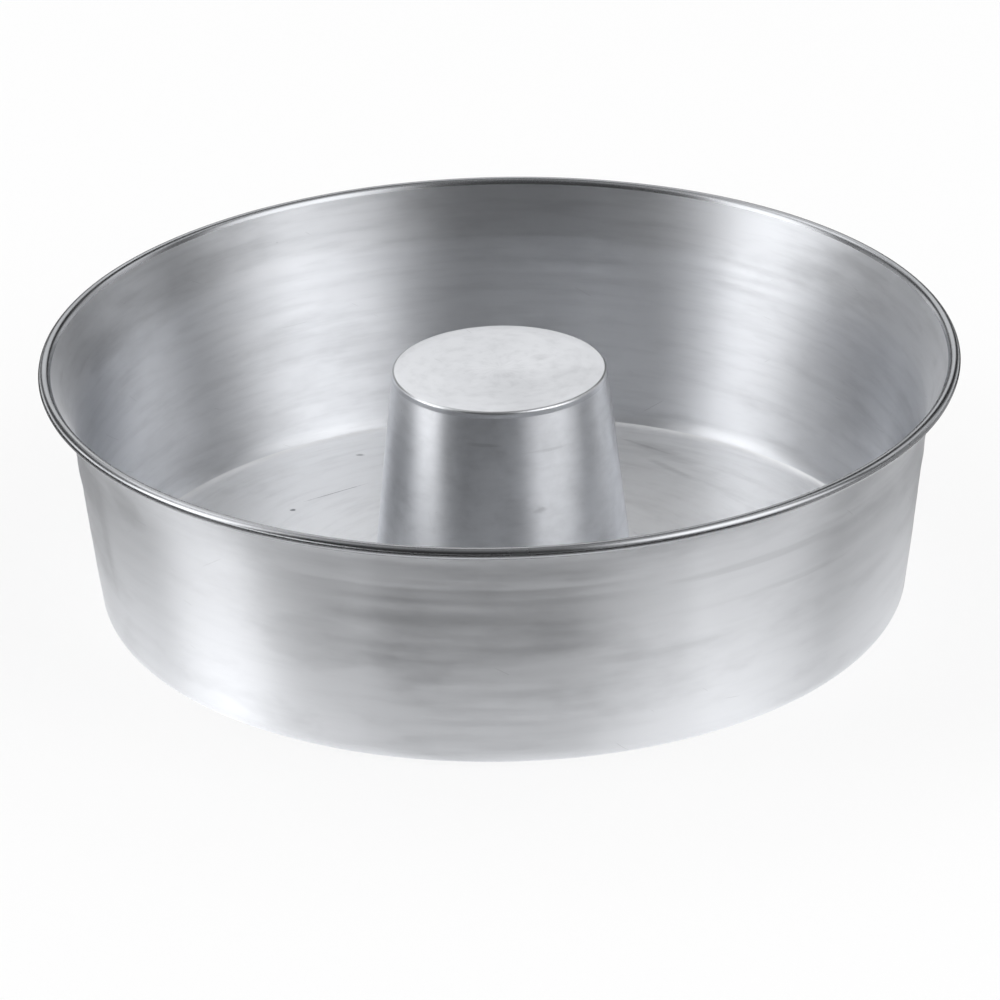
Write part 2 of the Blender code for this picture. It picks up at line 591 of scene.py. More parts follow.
class Graph:
    """A node tree being wired, with short calls for the nodes that the finishes use."""

    def __init__(self, tree: bpy.types.NodeTree) -> None:
        """Keeps the tree."""
        self.tree = tree

    def node(self, kind: str, **settings: object) -> bpy.types.Node:
        """Adds a node and sets its properties.

        Args:
            kind: The node's type.
            settings: Its properties by name.

        Returns:
            The node.
        """
        made = self.tree.nodes.new(kind)
        for key, value in settings.items():
            setattr(made, key, value)
        return made

    def feed(self, socket: bpy.types.NodeSocket, value: object) -> None:
        """Links a socket to an output, or sets its value.

        Args:
            socket: The input to fill.
            value: An output, a plain value, or None to leave it as it is.
        """
        if isinstance(value, bpy.types.NodeSocket):
            self.tree.links.new(value, socket)
        elif value is not None:
            socket.default_value = value

    def math(self, operation: str, *values: object) -> bpy.types.NodeSocket:
        """Adds a Math node.

        Args:
            operation: What it works out.
            values: What its inputs get, in their order.

        Returns:
            Its output.
        """
        made = self.node("ShaderNodeMath", operation=operation)
        for socket, value in zip(made.inputs, values):
            self.feed(socket, value)
        return made.outputs[0]

    def vector(self, operation: str, *values: object) -> bpy.types.NodeSocket:
        """Adds a Vector Math node.

        Args:
            operation: What it works out.
            values: What its inputs get, in their order.

        Returns:
            Its output: the number for a length or a dot product, and otherwise the vector.
        """
        made = self.node("ShaderNodeVectorMath", operation=operation)
        for socket, value in zip(made.inputs, values):
            self.feed(socket, value)
        return made.outputs["Value" if operation in ("LENGTH", "DOT_PRODUCT") else "Vector"]

    def split(self, vector: object) -> tuple[bpy.types.NodeSocket, ...]:
        """Splits a vector.

        Args:
            vector: The vector.

        Returns:
            Its three parts.
        """
        made = self.node("ShaderNodeSeparateXYZ")
        self.feed(made.inputs[0], vector)
        return tuple(made.outputs)

    def joined(self, x: object, y: object, z: object) -> bpy.types.NodeSocket:
        """Joins three numbers to a vector.

        Args:
            x: Its first part.
            y: Its second part.
            z: Its third part.

        Returns:
            The vector.
        """
        made = self.node("ShaderNodeCombineXYZ")
        for socket, value in zip(made.inputs, (x, y, z)):
            self.feed(socket, value)
        return made.outputs[0]

    def noise(self, vector: object, scale: object, detail: float = 2.0,
              roughness: float = 0.5) -> bpy.types.NodeSocket:
        """Adds a noise.

        Args:
            vector: The place that it is read at.
            scale: Its scale.
            detail: Its layers.
            roughness: The weight of its fine layers.

        Returns:
            A value round 0.5.
        """
        made = self.node("ShaderNodeTexNoise")
        self.feed(made.inputs["Vector"], vector)
        self.feed(made.inputs["Scale"], scale)
        self.feed(made.inputs["Detail"], detail)
        self.feed(made.inputs["Roughness"], roughness)
        return made.outputs[0]

    def ramp(self, value: object, low: object, high: object) -> bpy.types.NodeSocket:
        """Adds a smooth ramp.

        Args:
            value: What is measured.
            low: Where the share is 0.
            high: Where it is 1.

        Returns:
            The share.
        """
        made = self.node("ShaderNodeMapRange", interpolation_type="SMOOTHSTEP")
        self.feed(made.inputs["Value"], value)
        self.feed(made.inputs["From Min"], low)
        self.feed(made.inputs["From Max"], high)
        return made.outputs[0]

    def blend(self, share: object, a: object, b: object) -> bpy.types.NodeSocket:
        """Mixes two colours.

        Args:
            share: The share of the second.
            a: The first.
            b: The second.

        Returns:
            The mix.
        """
        made = self.node("ShaderNodeMix", data_type="RGBA")
        self.feed(made.inputs["Factor"], share)
        self.feed(made.inputs[6], a)
        self.feed(made.inputs[7], b)
        return made.outputs[2]

    def effect(self, effect: "Effect", *values: object) -> bpy.types.NodeSocket:
        """The output of an effect's node group.

        Args:
            effect: The effect to place.
            values: What its inputs get, in their order.

        Returns:
            Its one output.
        """
        made = self.node("ShaderNodeGroup", node_tree=effect.tree())
        for socket, value in zip(made.inputs, values):
            self.feed(socket, value)
        return made.outputs[0]


class Effect(ABC):
    """A shader node group that several finishes use, with one output."""

    name: ClassVar[str]
    inputs: ClassVar[dict[str, float | tuple[float, float, float]]]
    output: ClassVar[str]

    @abstractmethod
    def wire(self, g: Graph, given: dict[str, bpy.types.NodeSocket]) -> bpy.types.NodeSocket:
        """Wires the group.

        Args:
            g: The group's tree.
            given: Its inputs by name.

        Returns:
            What its output gives.
        """

    def tree(self) -> bpy.types.NodeTree:
        """The group's tree, built at its first use.

        Returns:
            The tree.
        """
        known = bpy.data.node_groups.get(self.name)
        if known:
            return known
        made = bpy.data.node_groups.new(self.name, "ShaderNodeTree")
        for label, default in self.inputs.items():
            kind = "NodeSocketVector" if isinstance(default, tuple) else "NodeSocketFloat"
            socket = made.interface.new_socket(label, in_out="INPUT", socket_type=kind)
            socket.default_value = default
        kind = "NodeSocketVector" if self.output == "Vector" else "NodeSocketFloat"
        made.interface.new_socket(self.output, in_out="OUTPUT", socket_type=kind)
        g = Graph(made)
        given = g.node("NodeGroupInput").outputs
        g.feed(g.node("NodeGroupOutput").inputs[0], self.wire(g, {s.name: s for s in given}))
        return made


class TurnedPlace(Effect):
    """A place on a turned sheet: round the axis in x and y, along the section in z, in metres."""

    name = "turned_place"
    inputs = {"Position": (0.0, 0.0, 0.0), "Along": 0.0, "Side": 0.0, "Radius": 0.1}
    output = "Vector"

    def wire(self, g: Graph, given: dict[str, bpy.types.NodeSocket]) -> bpy.types.NodeSocket:
        """Wires the group; the two faces of the sheet are kept far apart.

        Args:
            g: The group's tree.
            given: Its inputs by name.

        Returns:
            The place.
        """
        x, y, _ = g.split(given["Position"])
        round_axis = g.node("ShaderNodeVectorMath", operation="SCALE")
        g.feed(round_axis.inputs[0], g.vector("NORMALIZE", g.joined(x, y, 0.0)))
        g.feed(round_axis.inputs["Scale"], given["Radius"])
        along = g.math("MULTIPLY_ADD", given["Side"], FACE_SHIFT, given["Along"])
        return g.vector("ADD", round_axis.outputs[0], g.joined(0.0, 0.0, along))


class Streaks(Effect):
    """Uneven rings, as a roller leaves them: a height round 0, one groove deep."""

    name = "roller_streaks"
    inputs = {"Place": (0.0, 0.0, 0.0), "Pitch": 0.002, "Length": 0.03, "Depth": 0.00001,
              "Seed": 0.0}
    output = "Height"

    def wire(self, g: Graph, given: dict[str, bpy.types.NodeSocket]) -> bpy.types.NodeSocket:
        """Wires the group.

        Args:
            g: The group's tree.
            given: Its inputs by name.

        Returns:
            The height.
        """
        x, y, z = g.split(given["Place"])
        across = g.math("DIVIDE", x, given["Length"])
        deep = g.math("DIVIDE", y, given["Length"])
        along = g.math("DIVIDE", z, given["Pitch"])
        spot = g.vector("ADD", g.joined(across, deep, along), given["Seed"])
        value = g.noise(spot, 1.0, 2.0, 0.6)
        return g.math("MULTIPLY", g.math("SUBTRACT", value, 0.5), given["Depth"])


class Smudges(Effect):
    """Soft clouds where the bare metal has dulled or been wiped: a mask."""

    name = "smudges"
    inputs = {"Place": (0.0, 0.0, 0.0), "Size": 0.03, "Stretch": 2.0, "Low": 0.5, "High": 0.7,
              "Seed": 0.0}
    output = "Mask"

    def wire(self, g: Graph, given: dict[str, bpy.types.NodeSocket]) -> bpy.types.NodeSocket:
        """Wires the group.

        Args:
            g: The group's tree.
            given: Its inputs by name.

        Returns:
            The mask.
        """
        x, y, z = g.split(given["Place"])
        wide = g.math("MULTIPLY", given["Size"], given["Stretch"])
        spot = g.joined(g.math("DIVIDE", x, wide), g.math("DIVIDE", y, wide),
                        g.math("DIVIDE", z, given["Size"]))
        value = g.noise(g.vector("ADD", spot, given["Seed"]), 1.0, 4.0, 0.6)
        return g.ramp(value, given["Low"], given["High"])


class Specks(Effect):
    """Tiny dark pits, in a share of the cells of a loose grid: a mask."""

    name = "specks"
    inputs = {"Place": (0.0, 0.0, 0.0), "Spacing": 0.01, "Radius": 0.0003, "Share": 0.5}
    output = "Mask"

    def wire(self, g: Graph, given: dict[str, bpy.types.NodeSocket]) -> bpy.types.NodeSocket:
        """Wires the group.

        Args:
            g: The group's tree.
            given: Its inputs by name.

        Returns:
            The mask.
        """
        cells = g.node("ShaderNodeTexVoronoi", feature="F1")
        g.feed(cells.inputs["Vector"], given["Place"])
        g.feed(cells.inputs["Scale"], g.math("DIVIDE", 1.0, given["Spacing"]))
        pick, size, _ = g.split(cells.outputs["Color"])
        chosen = g.math("LESS_THAN", pick, given["Share"])
        radius = g.math("DIVIDE", g.math("MULTIPLY", given["Radius"], size), given["Spacing"])
        near = g.math("SUBTRACT", 1.0, g.ramp(cells.outputs["Distance"], 0.0, radius))
        return g.math("MULTIPLY", near, chosen)


class Scratches(Effect):
    """Thin, short and nearly straight hairlines, all much one way: a mask."""

    name = "hairlines"
    inputs = {"Place": (0.0, 0.0, 0.0), "Direction": (1.0, 0.0, 0.0), "Spacing": 0.01,
              "Width": 0.0001, "Share": 0.4, "Seed": 0.0}
    output = "Mask"
    wander_scale: ClassVar[float] = 14.0
    wander_reach: ClassVar[float] = 1.6
    gate_scale: ClassVar[float] = 1.4
    gate_edge: ClassVar[float] = 0.05

    def wire(self, g: Graph, given: dict[str, bpy.types.NodeSocket]) -> bpy.types.NodeSocket:
        """Wires the group: spaced lines that wander, kept only here and there.

        Args:
            g: The group's tree.
            given: Its inputs by name.

        Returns:
            The mask.
        """
        place = g.vector("ADD", given["Place"], given["Seed"])
        wander = g.math("MULTIPLY", g.noise(place, self.wander_scale, 1.0), self.wander_reach)
        distance = g.vector("DOT_PRODUCT", place, given["Direction"])
        across = g.math("ADD", g.math("DIVIDE", distance, given["Spacing"]), wander)
        off = g.math("ABSOLUTE", g.math("SUBTRACT", g.math("FRACT", across), 0.5))
        width = g.math("DIVIDE", given["Width"], given["Spacing"])
        line = g.math("SUBTRACT", 1.0, g.ramp(off, 0.0, width))
        kept = g.noise(place, g.math("DIVIDE", self.gate_scale, given["Spacing"]), 1.0)
        low = g.math("SUBTRACT", given["Share"], self.gate_edge)
        gate = g.math("SUBTRACT", 1.0, g.ramp(kept, low, given["Share"]))
        return g.math("MULTIPLY", line, gate)


class Spot(Effect):
    """One mark at a given place, longer one way than the other: a mask."""

    name = "spot"
    inputs = {"Position": (0.0, 0.0, 0.0), "Centre": (0.0, 0.0, 0.0), "Half Size": (0.01, 0.01, 0.01),
              "Turn": 0.0, "Edge": 0.5}
    output = "Mask"

    def wire(self, g: Graph, given: dict[str, bpy.types.NodeSocket]) -> bpy.types.NodeSocket:
        """Wires the group; the edge wanders a little.

        Args:
            g: The group's tree.
            given: Its inputs by name.

        Returns:
            The mask.
        """
        away = g.vector("SUBTRACT", given["Position"], given["Centre"])
        turned = g.node("ShaderNodeVectorRotate", rotation_type="Z_AXIS")
        g.feed(turned.inputs["Vector"], away)
        g.feed(turned.inputs["Angle"], given["Turn"])
        local = g.vector("DIVIDE", turned.outputs[0], given["Half Size"])
        wander = g.noise(g.vector("DIVIDE", given["Position"], given["Half Size"]), 1.3, 3.0)
        reach = g.math("ADD", g.vector("LENGTH", local), g.math("SUBTRACT", wander, 0.5))
        return g.math("SUBTRACT", 1.0, g.ramp(reach, g.math("SUBTRACT", 1.0, given["Edge"]), 1.0))


@dataclass(frozen=True)
class Grooves:
    """One family of roller streaks, in metres."""

    pitch: float
    length: float
    depth: float
    seed: float = 0.0


@dataclass(frozen=True)
class Hairlines:
    """One family of fine scratches, all much one way."""

    direction: tuple[float, float, float]
    spacing: float
    seed: float
    width: float = 0.00009


@dataclass(frozen=True)
class Mark:
    """A smudge, speck or scratch that the real mould has at a place of its own, or a patch of painted
    shade.
    """

    centre: tuple[float, float, float]
    half_size: tuple[float, float, float]
    strength: float
    turn: float = 0.0
    edge: float = 0.6
    side: Side = Side.FOOD


@dataclass(frozen=True)
class AluminiumFinish:
    """Bare aluminium with grooves round the axis, smudges, specks and hairlines, and listed marks of
    painted shade.

    Its lip is the food side of the flare, which the roller leaves a little rougher.
    """

    name: str
    colour: tuple[float, float, float]
    roughness: float
    anisotropy: float
    level: bool = False
    metallic: float = 1.0
    grooves: tuple[Grooves, ...] = ()
    smudge_size: float = 0.016
    smudge_stretch: float = 2.2
    smudge_range: tuple[float, float] = (0.47, 0.66)
    smudge_strength: float = 0.08
    band_pitch: float = 0.0030
    band_stretch: float = 8.0
    band_range: tuple[float, float] = (0.40, 0.75)
    band_seed: float = 3.0
    band_strength: float = 0.09
    speck_spacing: float = 0.009
    speck_radius: float = 0.0006
    speck_share: float = 0.10
    speck_strength: float = 0.55
    hairlines: tuple[Hairlines, ...] = (Hairlines((0.55, 0.35, 0.75), 0.011, 2.0),
                                        Hairlines((-0.30, 0.60, 0.74), 0.017, 5.0))
    scratch_share: float = 0.34
    scratch_strength: float = 0.25
    scratch_depth: float = 0.000003
    # Colour that smudges, specks, hairlines and marks darken the metal towards; some marks are
    # painted shade.
    dirt_and_shade: tuple[float, float, float] = (0.15, 0.155, 0.165)
    dulling: float = 0.03
    outer_band_share: float = 0.4
    lip_centre: tuple[float, float, float] = (0.0, 0.0, 0.0660)
    lip_half_size: tuple[float, float, float] = (0.300, 0.300, 0.0160)
    lip_edge: float = 0.4
    lip_roughness: float = 0.0
    marks: tuple[Mark, ...] = ()

    def material(self) -> bpy.types.Material:
        """Builds the finish.

        Returns:
            Its material.
        """
        made = bpy.data.materials.new(self.name)
        made.use_nodes = True
        g = Graph(made.node_tree)
        shader = made.node_tree.nodes["Principled BSDF"].inputs
        shader["Metallic"].default_value = self.metallic
        shader["Anisotropic"].default_value = self.anisotropy
        shader["Anisotropic Rotation"].default_value = SPIN_TURN
        g.feed(shader["Tangent"], g.node("ShaderNodeTangent", direction_type="RADIAL",
                                         axis="Z").outputs[0])
        position = g.node("ShaderNodeTexCoord").outputs["Object"]
        along = g.node("ShaderNodeAttribute", attribute_name="along").outputs["Fac"]
        side = g.node("ShaderNodeAttribute", attribute_name="side").outputs["Fac"]
        turned = g.effect(TurnedPlace(), position, along, side)
        lift = g.math("MULTIPLY", side, FACE_SHIFT)
        lifted = g.vector("ADD", position, g.joined(0.0, 0.0, lift))
        place = lifted if self.level else turned
        smudge = g.effect(Smudges(), place, self.smudge_size, self.smudge_stretch,
                          *self.smudge_range)
        band = g.effect(Smudges(), turned, self.band_pitch, self.band_stretch,
                        *self.band_range, self.band_seed)
        speck = g.effect(Specks(), place, self.speck_spacing, self.speck_radius, self.speck_share)
        scratch = g.math("MAXIMUM", *[
            g.effect(Scratches(), place, lines.direction, lines.spacing, lines.width,
                     self.scratch_share, lines.seed) for lines in self.hairlines])
        # The listed marks, painted shade among them, darken the metal along with the smudges.
        wear_and_shade = g.math("MULTIPLY_ADD", smudge, self.smudge_strength, self.marked(g, position, side))
        band_share = g.math("MULTIPLY_ADD", side, 1.0 - self.outer_band_share,
                            self.outer_band_share)
        banded = g.math("MULTIPLY", band, g.math("MULTIPLY", band_share, self.band_strength))
        dull_and_shade = g.math("ADD", banded, wear_and_shade)
        dark = g.math("MAXIMUM", g.math("MULTIPLY", speck, self.speck_strength),
                      g.math("MULTIPLY", scratch, self.scratch_strength))
        wear_and_shade_share = g.math("MAXIMUM", dull_and_shade, dark)
        g.feed(shader["Base Color"], g.blend(wear_and_shade_share, (*self.colour, 1.0), (*self.dirt_and_shade, 1.0)))
        clouds = g.math("ADD", smudge, band)
        rough = g.math("MULTIPLY_ADD", clouds, self.dulling, self.roughness)
        if self.lip_roughness:
            lip = g.effect(Spot(), position, self.lip_centre, self.lip_half_size, 0.0,
                           self.lip_edge)
            shown = g.math("MULTIPLY", lip, side)
            rough = g.math("MULTIPLY_ADD", shown, self.lip_roughness, rough)
        g.feed(shader["Roughness"], rough)
        g.feed(shader["Normal"], self.relief(g, turned, scratch))
        return made

    def marked(self, g: Graph, position: bpy.types.NodeSocket,
               side: bpy.types.NodeSocket) -> bpy.types.NodeSocket | float:
        """The marks with a place of their own, each on its face of the sheet.

        Args:
            g: The material's tree.
            position: The point on the piece.
            side: 1 on the food side, 0 outside.

        Returns:
            One mask for them all.
        """
        total = 0.0
        outer = g.math("SUBTRACT", 1.0, side)
        for mark in self.marks:
            mask = g.effect(Spot(), position, mark.centre, mark.half_size, mark.turn, mark.edge)
            shown = g.math("MULTIPLY", mask, side if mark.side is Side.FOOD else outer)
            total = g.math("MULTIPLY_ADD", shown, mark.strength, total)
        return total

    def relief(self, g: Graph, place: bpy.types.NodeSocket,
               scratch: bpy.types.NodeSocket) -> bpy.types.NodeSocket:
        """Grooves and scratches the face.

        Args:
            g: The material's tree.
            place: The place on the turned sheet.
            scratch: The hairlines' mask.

        Returns:
            Its normal.
        """
        height = g.math("MULTIPLY", scratch, -self.scratch_depth)
        for family in self.grooves:
            streaks = g.effect(Streaks(), place, family.pitch, family.length, family.depth,
                               family.seed)
            height = g.math("ADD", height, streaks)
        bump = g.node("ShaderNodeBump")
        g.feed(bump.inputs["Distance"], 1.0)
        g.feed(bump.inputs["Height"], height)
        return bump.outputs[0]


@dataclass(frozen=True)
class PhotoCamera:
    """The camera at the photograph's place, found from the outlines of rim, floor and cone."""

    distance: float = 1.7857
    elevation: float = math.radians(25.9)
    roll: float = math.radians(-1.27)
    target: tuple[float, float, float] = (-0.0006, 0.0, 0.02449)
    lens: float = 243.03
    sensor: float = 36.0
    nearest: float = 0.05
    farthest: float = 50.0

    def place(self) -> bpy.types.Object:
        """Adds the camera to the scene.

        Returns:
            The camera, which the scene then uses.
        """
        data = bpy.data.cameras.new("photo_camera")
        data.lens = self.lens
        data.sensor_width = self.sensor
        data.clip_start = self.nearest
        data.clip_end = self.farthest
        camera = bpy.data.objects.new("photo_camera", data)
        eye = Vector((0.0, -self.distance * math.cos(self.elevation),
                      self.distance * math.sin(self.elevation)))
        ahead = (Vector(self.target) - eye).normalized()
        right = ahead.cross(Vector((0, 0, 1))).normalized()
        up = right.cross(ahead)
        c, s = math.cos(self.roll), math.sin(self.roll)
        axes = (c * right + s * up, -s * right + c * up, -ahead)
        camera.matrix_world = Matrix([(*row, eye[i]) for i, row in enumerate(zip(*axes))]
                                     + [(0, 0, 0, 1)])
        bpy.context.scene.collection.objects.link(camera)
        bpy.context.scene.camera = camera
        return camera


FLAG_DISTANCE = 2.7
LAMP_DISTANCE = 2.4
CARD_CENTRE = 0.02
TABLE_CARD_HEIGHT = 0.0006
CARD_GRID = 1.5
CARD_LEAST = 4
TABLE_CARD_ROWS = 24
DARK = 0.05


class CardKind(Enum):
    """What a card of the studio does to the light from behind it."""

    FLAG = "covers"
    LAMP = "adds"


@dataclass(frozen=True)
class Card:
    """A card of the studio, with a soft edge and unseen by the camera.

    It is a patch of a sphere round the mould, or of the table where flat is set. Azimuths are
    degrees from the camera's side, rising towards +X. Reaches are elevations in degrees, or
    distances from the axis in metres on the table.
    """

    name: str
    azimuths: tuple[float, float]
    reaches: tuple[float, float]
    strength: float
    feather: tuple[float, float] = (3.0, 3.0)
    kind: CardKind = CardKind.LAMP
    flat: bool = False

    def place(self, azimuth: float, reach: float) -> tuple[float, float, float]:
        """The point at an azimuth and a reach.

        Args:
            azimuth: Degrees from the camera's side.
            reach: Elevation in degrees, or distance from the axis where the card is flat.

        Returns:
            The point, in metres.
        """
        a = math.radians(azimuth)
        if self.flat:
            return (reach * math.sin(a), -reach * math.cos(a), TABLE_CARD_HEIGHT)
        e = math.radians(reach)
        distance = FLAG_DISTANCE if self.kind is CardKind.FLAG else LAMP_DISTANCE
        return (distance * math.sin(a) * math.cos(e), -distance * math.cos(a) * math.cos(e),
                distance * math.sin(e) + CARD_CENTRE)

    def build(self) -> bpy.types.Object:
        """Adds the card.

        Returns:
            The card, with its share of glow at each corner.
        """
        span = self.azimuths[1] - self.azimuths[0]
        depth = self.reaches[1] - self.reaches[0]
        across = max(CARD_LEAST, round(span / CARD_GRID))
        up = TABLE_CARD_ROWS if self.flat else max(CARD_LEAST, round(depth / CARD_GRID))
        points, shares = [], []
        for j in range(up + 1):
            for i in range(across + 1):
                points.append(self.place(self.azimuths[0] + span * i / across,
                                         self.reaches[0] + depth * j / up))
                side = min(i, across - i) / across * span / max(self.feather[0], 0.01)
                end = min(j, up - j) / up * depth / max(self.feather[1], 1e-6)
                shares.append(smooth_step(0, 1, side) * smooth_step(0, 1, end))
        wide = across + 1
        faces = [(j * wide + i, j * wide + i + 1, (j + 1) * wide + i + 1, (j + 1) * wide + i)
                 for j in range(up) for i in range(across)]
        made = stage_mesh(self.name, points, faces, self.glow(),
                          lights=self.strength > DARK and not self.flat)
        layer = made.data.attributes.new("share", "FLOAT", "POINT")
        layer.data.foreach_set("value", shares)
        return made

    def glow(self) -> bpy.types.Material:
        """The card's glow, which ends softly.

        Returns:
            Its material.
        """
        made = bpy.data.materials.new(self.name)
        made.use_nodes = True
        g = Graph(made.node_tree)
        made.node_tree.nodes.remove(made.node_tree.nodes["Principled BSDF"])
        share = g.node("ShaderNodeAttribute", attribute_name="share").outputs["Fac"]
        light = g.node("ShaderNodeEmission")
        behind = g.node("ShaderNodeBsdfTransparent").outputs[0]
        if self.kind is CardKind.LAMP:
            g.feed(light.inputs["Strength"], g.math("MULTIPLY", share, self.strength))
            both = g.node("ShaderNodeAddShader")
            shaders = both.inputs
        else:
            g.feed(light.inputs["Strength"], self.strength)
            both = g.node("ShaderNodeMixShader")
            g.feed(both.inputs[0], share)
            shaders = both.inputs[1:]
        g.feed(shaders[0], behind)
        g.feed(shaders[1], light.outputs[0])
        g.feed(made.node_tree.nodes["Material Output"].inputs[0], both.outputs[0])
        return made


@dataclass(frozen=True)
class Studio:
    """The white table, the pale backdrop and the cards that the bare metal shows."""

    table_colour: float = 0.85
    table_roughness: float = 0.9
    table_specular: float = 0.1
    table_glow: float = 0.80
    table_hole: float = 0.1000
    table_reach: float = 4.0
    table_sectors: int = 96
    backdrop: float = 1.0
    room: float = 0.85
    cards: tuple[Card, ...] = ()

    def build(self) -> None:
        """Sets the stage."""
        self.table()
        for card in self.cards:
            card.build()
        world = bpy.data.worlds.new("room")
        bpy.context.scene.world = world
        world.use_nodes = True
        g = Graph(world.node_tree)
        ground = world.node_tree.nodes["Background"]
        ground.inputs["Color"].default_value = (1.0, 1.0, 1.0, 1.0)
        shown = self.shown_share(g)
        g.feed(ground.inputs["Strength"], g.math("MULTIPLY_ADD", shown, self.backdrop - self.room,
                                                 self.room))

    def table(self) -> None:
        """Adds the table, as a ring whose hole lies out of sight under the mould's flat base."""
        count = self.table_sectors
        points, faces = [], []
        for radius in (self.table_hole, self.table_reach):
            for i in range(count):
                angle = 2 * math.pi * i / count
                points.append((radius * math.cos(angle), radius * math.sin(angle), 0.0))
        for i in range(count):
            j = (i + 1) % count
            faces.append((i, count + i, count + j, j))
        stage_mesh("table", points, faces, self.table_paint(), lights=True, seen=True)

    def shown_share(self, g: Graph) -> bpy.types.NodeSocket:
        """Tells what is seen from what only lights.

        Args:
            g: The tree that needs it.

        Returns:
            1 for what the camera, the metal or glass sees, 0 for the light on the table.
        """
        path = g.node("ShaderNodeLightPath").outputs
        share = g.math("MAXIMUM", path["Is Camera Ray"], path["Is Glossy Ray"])
        return g.math("MAXIMUM", share, path["Is Transmission Ray"])

    def table_paint(self) -> bpy.types.Material:
        """White paint that stays near white where it is seen, and keeps the mould's shadow.

        It can be seen through from below, so that the mould's underside shows.

        Returns:
            The paint's material.
        """
        paint = bpy.data.materials.new("table_paint")
        paint.use_nodes = True
        g = Graph(paint.node_tree)
        shader = paint.node_tree.nodes["Principled BSDF"]
        shader.inputs["Base Color"].default_value = (*[self.table_colour] * 3, 1.0)
        shader.inputs["Roughness"].default_value = self.table_roughness
        shader.inputs["Specular IOR Level"].default_value = self.table_specular
        white = g.node("ShaderNodeEmission")
        mix = g.node("ShaderNodeMixShader")
        g.feed(mix.inputs[0], g.math("MULTIPLY", self.shown_share(g), self.table_glow))
        g.feed(mix.inputs[1], shader.outputs[0])
        g.feed(mix.inputs[2], white.outputs[0])
        ends = g.node("ShaderNodeMixShader")
        g.feed(ends.inputs[0], g.node("ShaderNodeNewGeometry").outputs["Backfacing"])
        g.feed(ends.inputs[1], mix.outputs[0])
        g.feed(ends.inputs[2], g.node("ShaderNodeBsdfTransparent").outputs[0])
        g.feed(paint.node_tree.nodes["Material Output"].inputs[0], ends.outputs[0])
        return paint


def stage_mesh(name: str, points: list[tuple[float, float, float]],
               faces: list[tuple[int, ...]], material: bpy.types.Material, lights: bool,
               seen: bool = False) -> bpy.types.Object:
    """Adds a piece of the stage.

    Args:
        name: Its name.
        points: Its corners.
        faces: Its faces.
        material: What it is made of.
        lights: Whether it counts for the light on the table.
        seen: Whether the camera sees it and whether it throws a shadow.

    Returns:
        The object.
    """
    mesh = bpy.data.meshes.new(name)
    mesh.from_pydata(points, [], faces)
    mesh.materials.append(material)
    made = bpy.data.objects.new(name, mesh)
    bpy.context.scene.collection.objects.link(made)
    made.visible_camera = seen
    made.visible_diffuse = lights
    made.visible_shadow = seen
    return made


GREY = (0.878, 0.893, 0.924)
# Colour of the pan's floor: paler than the wall's grey as painted light, so the floor comes out
# brighter.
PAINTED_LIGHT_FLOOR = (0.978, 0.984, 0.994)
# Colour of the rolled rim: darkened well below the bare metal's grey as painted shade, so the roll's
# reflections come out dark.
PAINTED_SHADE_RIM = (0.47, 0.48, 0.50)
# Colour of the rounded edge of the cone's top: darker than the side's grey as painted shade, to dim
# the edge's highlight.
PAINTED_SHADE_EDGE = (0.74, 0.755, 0.78)
OUTER = Side.OUTER
FINE = Grooves(0.0005, 0.03, 0.0000018, 1.0)
BROAD = Grooves(0.0019, 0.07, 0.0000120, 4.0)
SPUN = (
    AluminiumFinish("spun_wall", GREY, 0.40, 1.0, grooves=(FINE, BROAD), lip_roughness=0.10, marks=(
        Mark((-0.0955, -0.0588, 0.0540), (0.010, 0.012, 0.010), 0.16, edge=0.8, side=OUTER),
        Mark((-0.1021, -0.0412, 0.0370), (0.008, 0.005, 0.022), 0.12, edge=0.8, side=OUTER),
        Mark((-0.0462, -0.0994, 0.0330), (0.024, 0.020, 0.009), 0.07, edge=0.3, side=OUTER),
        Mark((-0.0087, -0.1098, 0.0370), (0.034, 0.020, 0.009), 0.08, edge=0.3, side=OUTER),
        Mark((0.0639, -0.0914, 0.0494), (0.030, 0.030, 0.0016), 0.12, edge=0.7, side=OUTER),
        Mark((0.0744, -0.0803, 0.0400), (0.026, 0.030, 0.0012), 0.10, edge=0.7, side=OUTER),
        Mark((0.0350, -0.1030, 0.0300), (0.030, 0.020, 0.0020), 0.07, edge=0.7, side=OUTER),
        # Painted shade: a dark band just under the rim at the front of the outer wall.
        Mark((0.0, -0.1130, 0.0580), (0.075, 0.030, 0.0060), 0.16, edge=0.8, side=OUTER),
    )),
    AluminiumFinish("spun_floor", PAINTED_LIGHT_FLOOR, 0.45, 0.2, True, 0.8, (FINE, BROAD), marks=(
        Mark((-0.0567, 0.0469, 0.0008), (0.0010, 0.0009, 0.002), 0.80, edge=0.5),
        Mark((-0.0389, 0.0815, 0.0008), (0.0014, 0.0008, 0.002), 0.45, edge=0.5),
        Mark((-0.0452, 0.0575, 0.0008), (0.0125, 0.00024, 0.002), 0.45, -0.567, 0.6),
        Mark((0.0443, 0.0788, 0.0008), (0.0190, 0.0036, 0.004), 0.13, 0.763, 0.8),
        Mark((0.0460, 0.0683, 0.0008), (0.0135, 0.0016, 0.004), 0.14, 0.857, 0.8),
        Mark((0.0400, 0.0830, 0.0008), (0.0120, 0.0009, 0.004), 0.14, 0.700, 0.8),
    )),
    AluminiumFinish("rolled_rim", PAINTED_SHADE_RIM, 0.24, 0.3, grooves=(FINE,)),
)
